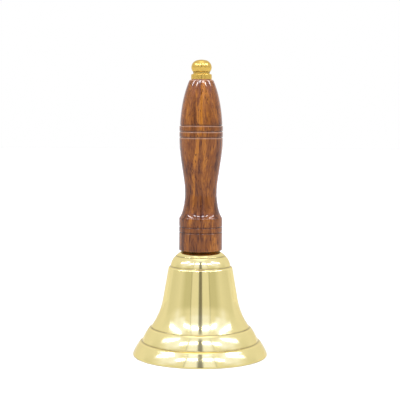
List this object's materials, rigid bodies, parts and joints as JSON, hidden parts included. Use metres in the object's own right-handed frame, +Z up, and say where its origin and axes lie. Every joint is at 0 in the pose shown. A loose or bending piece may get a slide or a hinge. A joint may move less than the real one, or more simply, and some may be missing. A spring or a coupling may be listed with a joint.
{
  "type": "hand bell",
  "caption": "Hand bell: stepped cast brass bell on a turned wooden handle, with a brass ball finial and a clapper hanging from a link inside.",
  "frame": {"origin": "centre of the bell's mouth, on the plane of the rim", "axes": "+Z up the bell's axis from the mouth to the finial; X and Y across the mouth, the link lying in the YZ plane and both rings in the XZ plane"},
  "size_m": [0.09, 0.09, 0.1968],
  "materials": {
    "bell_brass": "polished",
    "finial_brass": "polished",
    "handle_wood": "stained and lacquered",
    "plated_steel": "zinc plated",
    "clapper_brass": "turned"
  },
  "bodies": {
    "bell": {"bell_shell": "bell_brass", "handle_grip": "handle_wood", "finial_collar": "finial_brass", "finial_knob": "finial_brass", "tie_rod": "plated_steel", "crown_washer": "plated_steel", "staple_nut": "plated_steel"},
    "link": {"hanging_link": "plated_steel"},
    "clapper": {"clapper_shank": "plated_steel", "clapper_ball": "clapper_brass"}
  },
  "joints": [
    {"name": "clapper_sway", "type": "hinge", "parent": "bell", "child": "link", "pos_m": [0, 0, 0.05075], "axis": [1, 0, 0], "range_deg": [-10, 10]},
    {"name": "clapper_swing", "type": "hinge", "parent": "link", "child": "clapper", "pos_m": [0, 0, 0.04385], "axis": [0, 1, 0], "range_deg": [-34, 34]}
  ]
}
